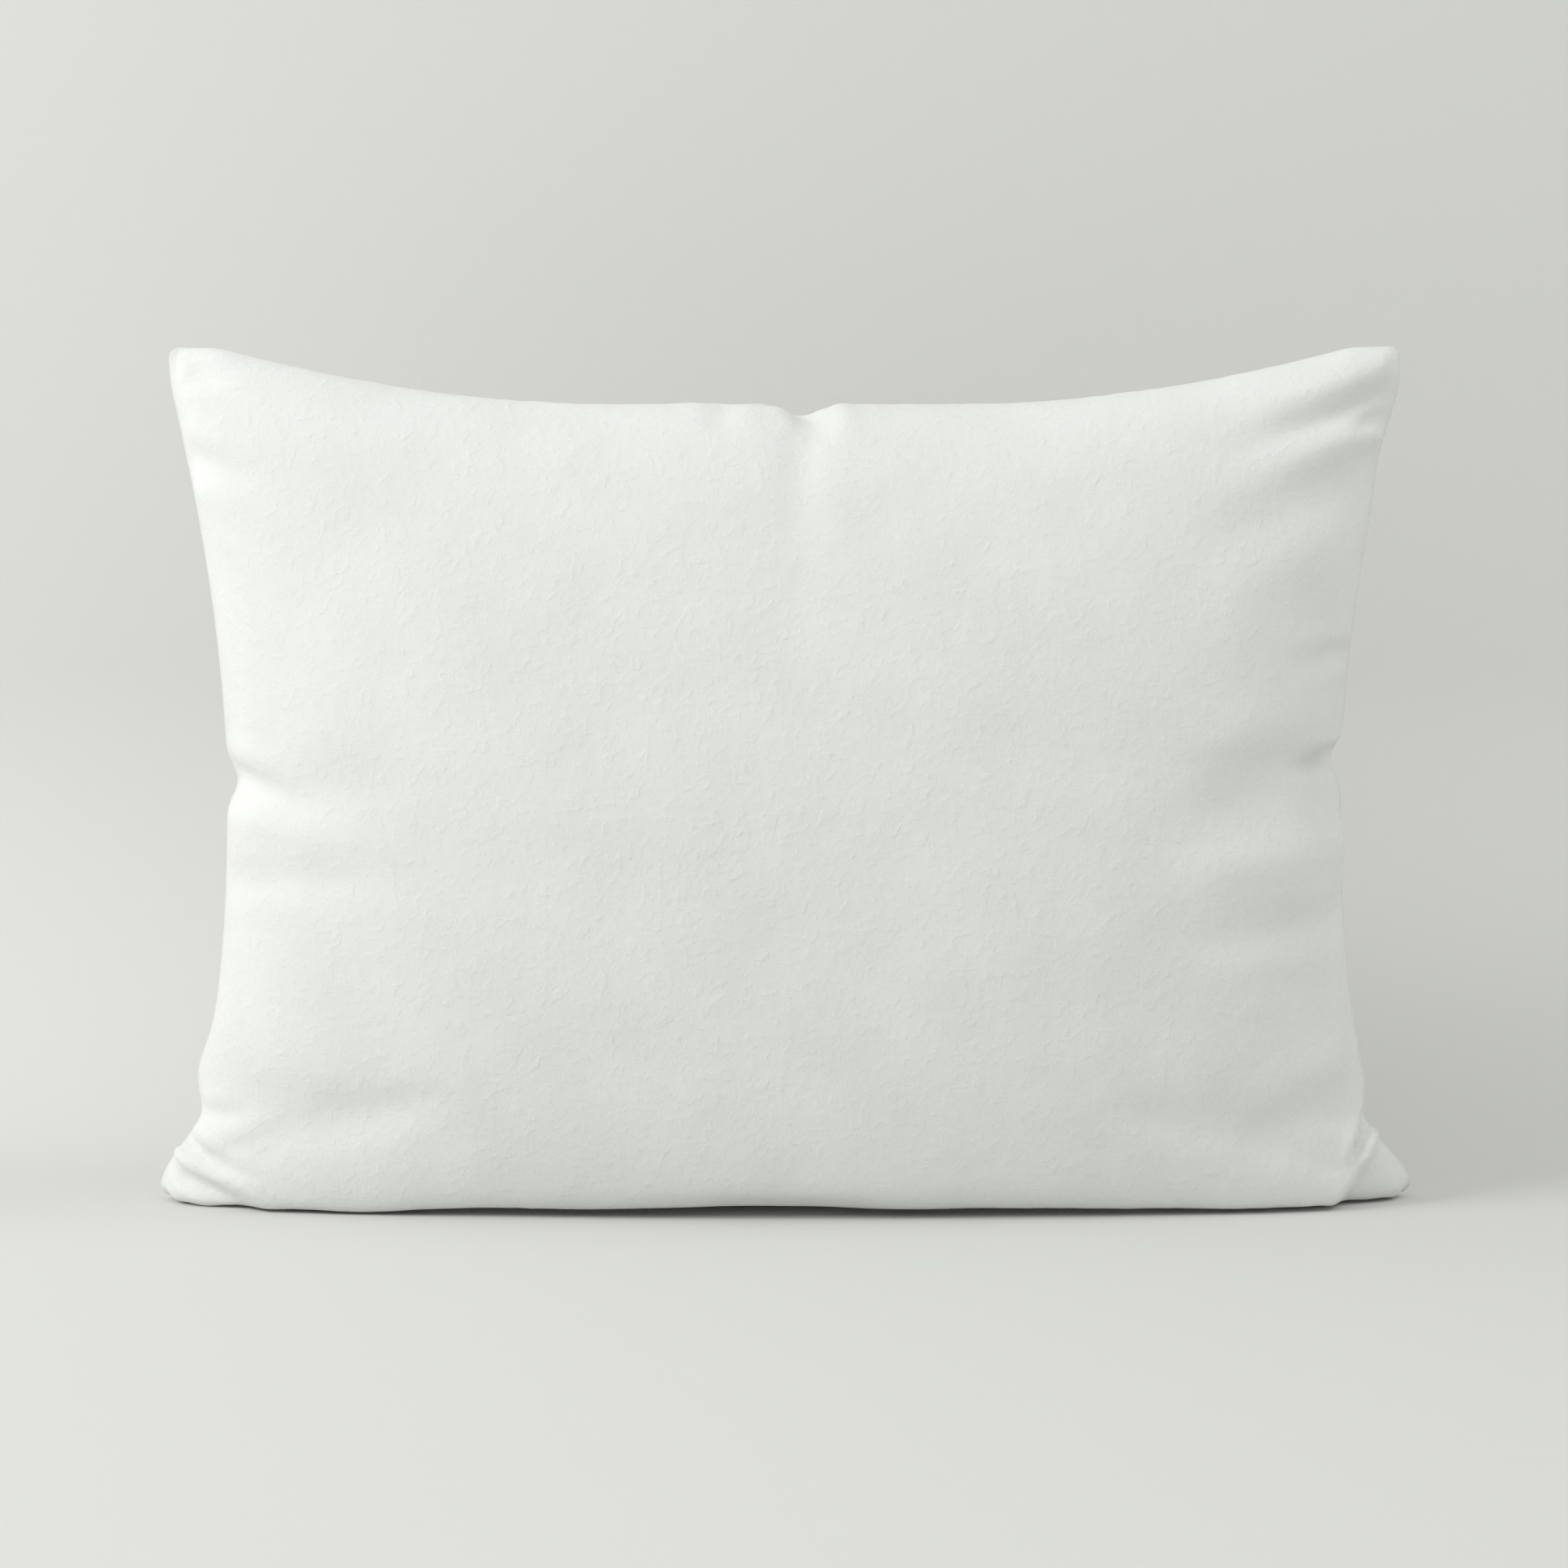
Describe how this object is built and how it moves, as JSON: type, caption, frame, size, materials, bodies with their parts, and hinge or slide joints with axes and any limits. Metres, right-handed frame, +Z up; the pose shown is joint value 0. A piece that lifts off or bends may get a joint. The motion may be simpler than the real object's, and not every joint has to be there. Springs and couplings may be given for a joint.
{
  "type": "bed pillow",
  "caption": "Rectangular bed pillow standing on its long edge: zipped cotton cover with flat knife-edge ears over a ticking insert filled with fibre.",
  "frame": {"origin": "middle of the base, on the surface that the pillow stands on", "axes": "+X along the pillow's long side, +Y through its thickness towards the back panel, +Z up, as it stands on its long lower edge"},
  "size_m": [0.676, 0.1764, 0.47],
  "materials": {
    "cover_cloth": "matte",
    "ticking_cloth": "matte",
    "fibre": "matte",
    "thread": "satin",
    "label": "satin",
    "zip_tape": "matte",
    "zip_coil": "satin",
    "zip_metal": "satin"
  },
  "bodies": {
    "pillow": {"cover_front": "cover_cloth", "cover_back": "cover_cloth", "cover_seam_thread": "thread", "care_label": "label", "zip_tape_front": "zip_tape", "zip_tape_back": "zip_tape", "zip_coil_front": "zip_coil", "zip_coil_back": "zip_coil", "zip_top_stops": "zip_metal", "zip_bottom_stop": "zip_metal", "zip_stitching": "thread", "ticking_front": "ticking_cloth", "ticking_back": "ticking_cloth", "ticking_seam_thread": "thread", "ticking_closing_stitch": "thread", "insert_label": "label", "fibre_fill": "fibre"},
    "slider": {"zip_slider": "zip_metal"},
    "pull": {"zip_pull": "zip_metal"}
  },
  "joints": [
    {"name": "zip_slide", "type": "slide", "parent": "pillow", "child": "slider", "axis": [-1, 0, 0], "range_m": [0, 0.4644]},
    {"name": "pull_hinge", "type": "hinge", "parent": "slider", "child": "pull", "pos_m": [0.2327, 0, 0.0062], "axis": [0, -1, 0], "range_deg": [0, 180]}
  ]
}
